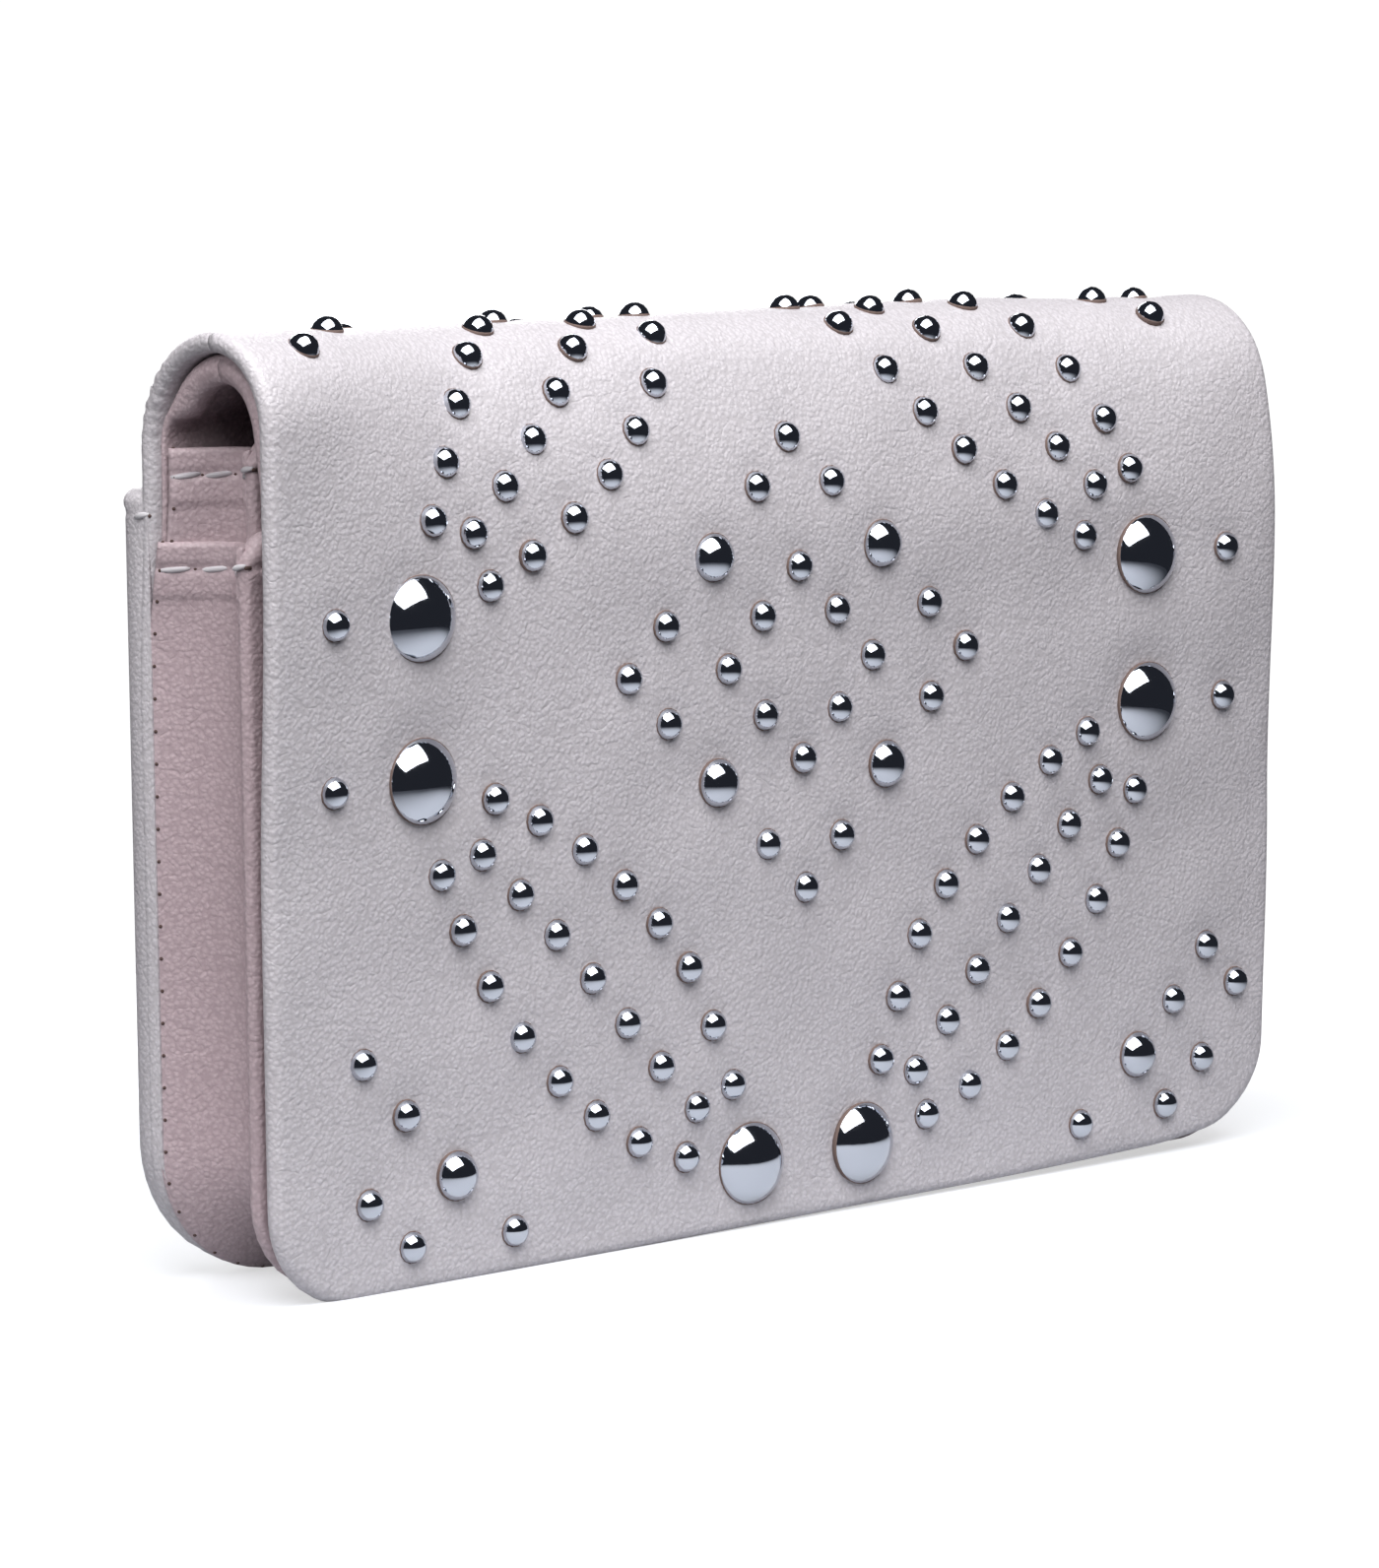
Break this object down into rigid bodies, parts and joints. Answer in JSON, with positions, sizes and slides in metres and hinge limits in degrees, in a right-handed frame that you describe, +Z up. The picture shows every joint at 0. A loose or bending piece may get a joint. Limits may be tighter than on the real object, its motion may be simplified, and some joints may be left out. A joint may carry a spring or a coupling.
{
  "type": "flap wallet",
  "caption": "Flap wallet that stands upright: padded leather shell folded over nested gusseted pockets, a zipped pocket, magnetic snap and metal dome studs.",
  "frame": {"origin": "on the surface that the wallet stands on, in the middle of the width, and midway between the tallest studs on the flap and the slip pocket's outer face", "axes": "+X across the width to the right as seen from the flap side, +Y from the flap to the back, +Z up"},
  "size_m": [0.175, 0.0322, 0.119],
  "materials": {
    "outer_leather": "pale grey-lilac fine-grained coated leather",
    "lining_leather": "dusty pink fine-grained coated leather",
    "polished_stud": "mirror-polished nickel plate",
    "snap_metal": "nickel-plated steel",
    "zip_metal": "nickel-plated zip metal",
    "zip_tape": "woven polyester tape",
    "foam": "thin foam padding",
    "board": "grey-brown stiffening board"
  },
  "bodies": {
    "pouch": {"back_board": "board", "back_leather": "outer_leather", "back_lining": "lining_leather", "back_slip_pocket": "outer_leather", "card_pocket_1": "lining_leather", "card_pocket_2": "lining_leather", "card_pocket_3": "lining_leather", "inner_front_panel": "lining_leather", "inner_gusset": "lining_leather", "outer_front_panel": "lining_leather", "outer_gusset": "lining_leather", "snap_socket": "snap_metal", "snap_socket_washer": "snap_metal", "zip_pocket_back": "lining_leather", "zip_pocket_front": "lining_leather", "zip_stops": "zip_metal", "zip_tape_back": "zip_tape", "zip_tape_front": "zip_tape", "zip_teeth": "zip_metal"},
    "crown": {"crown_foam": "foam", "crown_leather": "outer_leather", "crown_lining": "lining_leather", "large_studs_crown": "polished_stud", "medium_studs_crown": "polished_stud", "small_studs_crown": "polished_stud"},
    "flap": {"flap_foam": "foam", "flap_leather": "outer_leather", "flap_lining": "lining_leather", "large_studs_flap": "polished_stud", "medium_studs_flap": "polished_stud", "small_studs_flap": "polished_stud", "snap_stud": "snap_metal", "snap_stud_washer": "snap_metal"},
    "zip_slider": {"zip_slider": "zip_metal"},
    "zip_pull": {"zip_pull": "zip_metal"}
  },
  "joints": [
    {"name": "back_fold", "type": "hinge", "parent": "pouch", "child": "crown", "pos_m": [0, 0.0131, 0.10573], "axis": [-1, 0, 0], "range_deg": [0, 90]},
    {"name": "front_fold", "type": "hinge", "parent": "crown", "child": "flap", "pos_m": [0, -0.00656, 0.1115], "axis": [-1, 0, 0], "range_deg": [0, 90]},
    {"name": "zip_slide", "type": "slide", "parent": "pouch", "child": "zip_slider", "axis": [-1, 0, 0], "range_m": [0, 0.1252]},
    {"name": "pull_turn", "type": "hinge", "parent": "zip_slider", "child": "zip_pull", "pos_m": [0.0626, 0.0022, 0.1017], "axis": [0, 1, 0], "range_deg": [0, 180]}
  ],
  "couplings": [
    {"joint": "front_fold", "follows": "back_fold", "ratio": 1}
  ]
}
